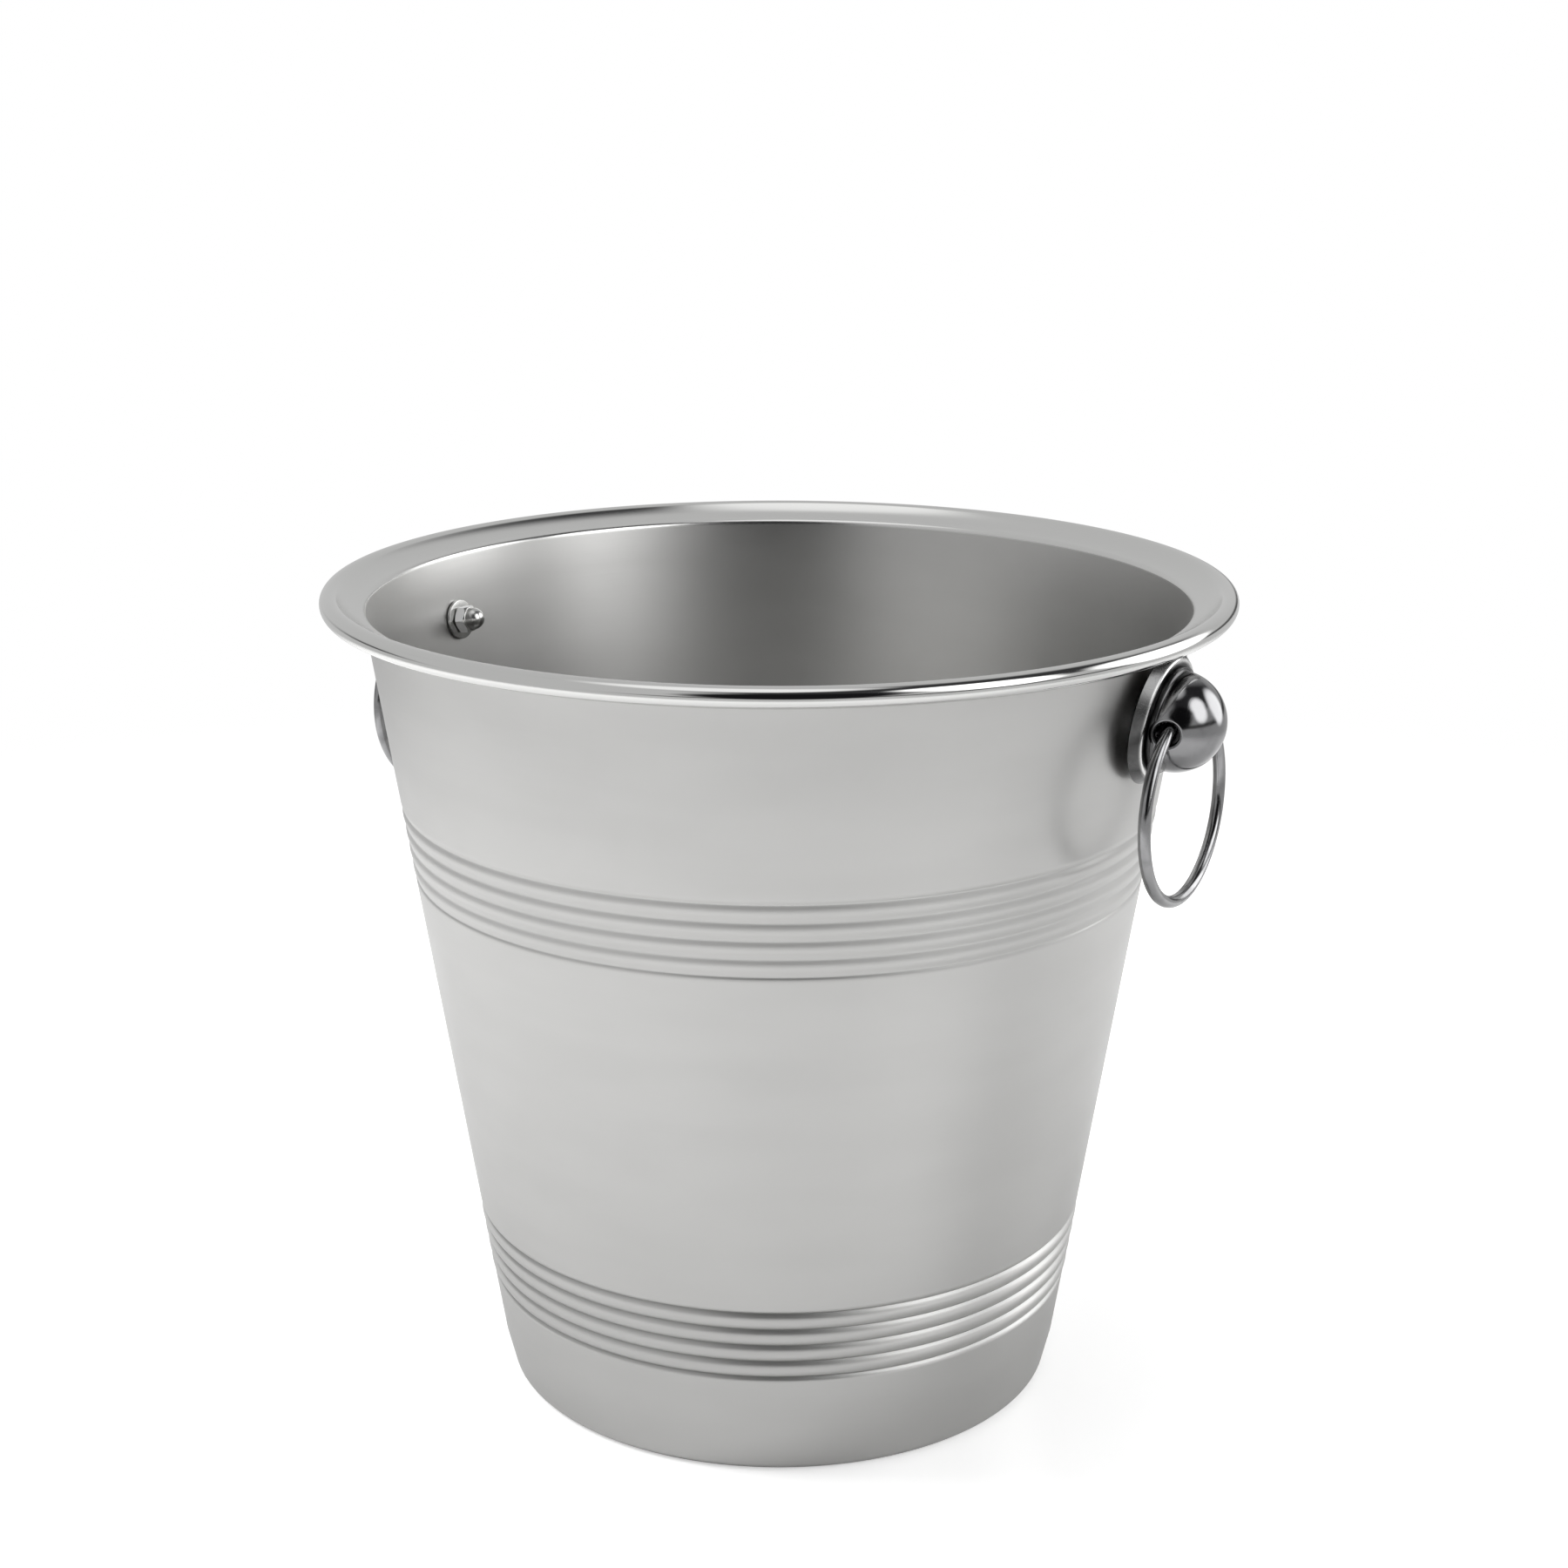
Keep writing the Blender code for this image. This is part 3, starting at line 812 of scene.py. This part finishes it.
def build_handle(word, plate_metal, boss_metal, ring_metal, fixing_metal):
    seat = handle_frame(word)
    plate = turned(word + "_dished_plate", plate_section(), 128, plate_metal)
    shade(plate, 40)
    corner = Vector((BOSS_RADIUS, PLATE_FRONT))
    front_edge = Vector((PLATE_FRONT_RADIUS - 0.2 * MM, PLATE_FRONT))
    # Painted highlight along the plate's front edge, painted shade where the dome meets the plate.
    mark_round(plate, "painted_edge_highlight", front_edge, EDGE_HIGHLIGHT_WIDTH)
    mark_round(plate, "painted_corner_shade", corner, PLATE_CORNER_SHADE_WIDTH)
    place(plate, seat, "backplate_" + word, "pail", "polished_steel")

    boss = turned(word + "_dome_boss", boss_section(), 144, boss_metal)
    shade(boss, 50)
    plugs = [hole_cutter(f"{word}_plug_{i}", sign, boss_metal) for i, sign in enumerate((1, -1))]
    cut(boss, "DIFFERENCE", plugs)
    shade(boss, 50)
    # Painted shade on the dome round its foot.
    mark_round(boss, "painted_corner_shade", corner, BOSS_CORNER_SHADE_WIDTH)
    place(boss, seat, "boss_" + word, "pail", "polished_steel")

    blank = bpy.data.meshes.new(word + "_wire_ring")
    values = {"Ring Radius": RING_RADIUS, "Wire Radius": RING_WIRE, "Metal": ring_metal}
    ring = run_tree(word + "_wire_ring", blank, BEND, values)
    shade(ring, 60)
    drop = math.sqrt(RING_RADIUS**2 - RING_HOLD**2)
    pivot = seat @ Vector((0.0, 0.0, PIVOT_OUT))
    hang = Matrix.Translation(pivot - Vector((0, 0, drop))) @ Matrix.Rotation(math.pi / 2, 4, "Y")
    place(ring, hang, "ring_" + word, word + "_ring", "polished_steel")

    screw = turned(word + "_fixing_screw", screw_section(), 48, fixing_metal)
    shade(screw, 40)
    place(screw, seat, "screw_" + word, "pail", "fixing_steel")
    washer = turned(word + "_fixing_washer", washer_section(), 72, fixing_metal)
    shade(washer, 40)
    place(washer, seat, "washer_" + word, "pail", "fixing_steel")
    nut = build_cap_nut(word + "_dome_nut", fixing_metal)
    shade(nut, 30)
    place(nut, seat, "cap_nut_" + word, "pail", "fixing_steel")


# ---------------------------------------------------------------- studio


def seen_from_camera(right, forward, up):
    """A place given from the camera's side: to its right, away from it, and above the floor."""
    a = CAMERA_AZIMUTH
    across = Vector((math.cos(a), math.sin(a), 0.0))
    away = Vector((-math.sin(a), math.cos(a), 0.0))
    return across * right + away * forward + Vector((0.0, 0.0, up))


def add_camera():
    data = bpy.data.cameras.new("camera")
    data.lens = CAMERA_LENS
    data.sensor_width = 36.0
    data.shift_x = CAMERA_SHIFT
    camera = bpy.data.objects.new("camera", data)
    bpy.context.scene.collection.objects.link(camera)
    camera.location = seen_from_camera(0.0, -CAMERA_DISTANCE, CAMERA_HEIGHT)
    camera.rotation_euler = (math.pi / 2 - CAMERA_PITCH, 0.0, CAMERA_AZIMUTH)
    bpy.context.scene.camera = camera


def add_softbox(name, place_at, aim, width, height, strength):
    """A rectangular lamp of so many watts, not seen in the metal, which reflects the room."""
    data = bpy.data.lights.new(name, "AREA")
    data.shape = "RECTANGLE"
    data.size, data.size_y = width, height
    data.energy = strength
    lamp = bpy.data.objects.new(name, data)
    bpy.context.scene.collection.objects.link(lamp)
    lamp.location = place_at
    lamp.rotation_euler = (place_at - aim).to_track_quat("Z", "Y").to_euler()
    lamp.visible_glossy = False


def nearness(tree, way, middle, edges):
    """1 where the direction is close to the middle one, 0 past the outer edge."""
    inputs = {0: way, 1: Vector(middle).normalized()}
    close = add_node(tree, "ShaderNodeVectorMath", inputs, operation="DOT_PRODUCT")
    return span(tree, close.outputs["Value"], edges[0], edges[1])


def add_world():
    """A pale room with a dark part behind the camera, and plain white where the camera looks past."""
    world = bpy.data.worlds.new("studio")
    bpy.context.scene.world = world
    world.use_nodes = True
    tree = world.node_tree
    tree.nodes.clear()
    way = add_node(tree, "ShaderNodeTexCoord").outputs["Generated"]
    turn = (0.0, 0.0, -CAMERA_AZIMUTH)
    seen = add_node(tree, "ShaderNodeMapping", {"Vector": way, "Rotation": turn})
    parts = add_node(tree, "ShaderNodeSeparateXYZ", {0: seen.outputs[0]})
    height = parts.outputs["Z"]
    sky = blend(tree, span(tree, height, -0.10, -0.03), ROOM_BELOW, ROOM_HORIZON)
    sky = blend(tree, span(tree, height, 0.02, 0.10), sky, ROOM_WALLS)
    sky = blend(tree, span(tree, height, 0.38, 0.52), sky, ROOM_UPPER)
    sky = blend(tree, nearness(tree, seen.outputs[0], FAR_MIDDLE, FAR_EDGES), sky, ROOM_FAR)
    sky = blend(tree, nearness(tree, seen.outputs[0], LEFT_MIDDLE, LEFT_EDGES), sky, ROOM_LEFT)
    sky = blend(
        tree, nearness(tree, seen.outputs[0], CEILING_MIDDLE, CEILING_EDGES), sky, ROOM_CEILING
    )
    sky = blend(tree, nearness(tree, seen.outputs[0], DARK_MIDDLE, DARK_EDGES), sky, ROOM_DARK)
    for middle, edges in WINDOWS:
        sky = blend(tree, nearness(tree, seen.outputs[0], middle, edges), sky, ROOM_WINDOW)
    rays = add_node(tree, "ShaderNodeLightPath")
    room = add_node(tree, "ShaderNodeBackground", {"Color": sky})
    paper = add_node(tree, "ShaderNodeBackground", {"Color": (1.0, 1.0, 1.0, 1.0)})
    shown = add_node(
        tree,
        "ShaderNodeMixShader",
        {0: rays.outputs["Is Camera Ray"], 1: room.outputs[0], 2: paper.outputs[0]},
    )
    add_node(tree, "ShaderNodeOutputWorld", {0: shown.outputs[0]})


def add_floor():
    """A white table, faintly glossy near the pail, clear from below, that fades into the white."""
    mesh = bpy.data.meshes.new("floor")
    shape = bmesh.new()
    bmesh.ops.create_circle(shape, cap_ends=True, segments=96, radius=FLOOR_RADIUS)
    shape.to_mesh(mesh)
    shape.free()
    floor = add_object("floor", mesh)
    floor.location.z = -0.1 * MM
    material, tree, surface = new_material("pale_floor")
    surface.inputs["Metallic"].default_value = 0.0
    surface.inputs["Base Color"].default_value = FLOOR_COLOUR
    surface.inputs["Roughness"].default_value = 0.20
    surface.inputs["Emission Color"].default_value = (1.0, 1.0, 1.0, 1.0)
    place = add_node(tree, "ShaderNodeTexCoord").outputs["Object"]
    reach = add_node(tree, "ShaderNodeVectorMath", {0: place}, operation="LENGTH").outputs["Value"]
    rays = add_node(tree, "ShaderNodeLightPath")
    glow = span(tree, reach, 0.10, 0.45, FLOOR_GLOW[0], FLOOR_GLOW[1])
    seen = math_node(tree, "MULTIPLY", rays.outputs["Is Camera Ray"], FLOOR_SEEN_GLOW)
    tree.links.new(math_node(tree, "ADD", glow, seen), surface.inputs["Emission Strength"])
    gloss = span(tree, reach, 0.15, 0.5, 0.35, 0.0)
    tree.links.new(gloss, surface.inputs["Specular IOR Level"])
    back = add_node(tree, "ShaderNodeNewGeometry").outputs["Backfacing"]
    front = math_node(tree, "SUBTRACT", 1.0, back)
    solid = math_node(tree, "MULTIPLY", span(tree, reach, 0.35, 0.75, 1.0, 0.0), front)
    tree.links.new(solid, surface.inputs["Alpha"])
    mesh.materials.append(material)


def add_studio():
    add_world()
    add_floor()
    middle = Vector((0.0, 0.0, 0.12))
    add_softbox("key_left", seen_from_camera(-1.1, 0.1, 1.0), middle, 0.6, 0.6, 13.0)
    add_softbox("overhead", seen_from_camera(-0.1, 0.1, 1.5), middle, 1.2, 0.9, 6.0)
    view = bpy.context.scene.view_settings
    view.view_transform = "Standard"
    view.look = "None"


# ---------------------------------------------------------------- assembly

TURN = turning_tree()
BEND = wire_ring_tree()
GRAIN = turned_grain_group()
HANDLING = handling_group()
GROOVE = groove_group()

add_camera()
add_studio()
build_pail(satin_pail_metal())
metals = [polished_metal(*finish) for finish in HANDLE_FINISHES]
for handle_side in SIDES:
    build_handle(handle_side, *metals)
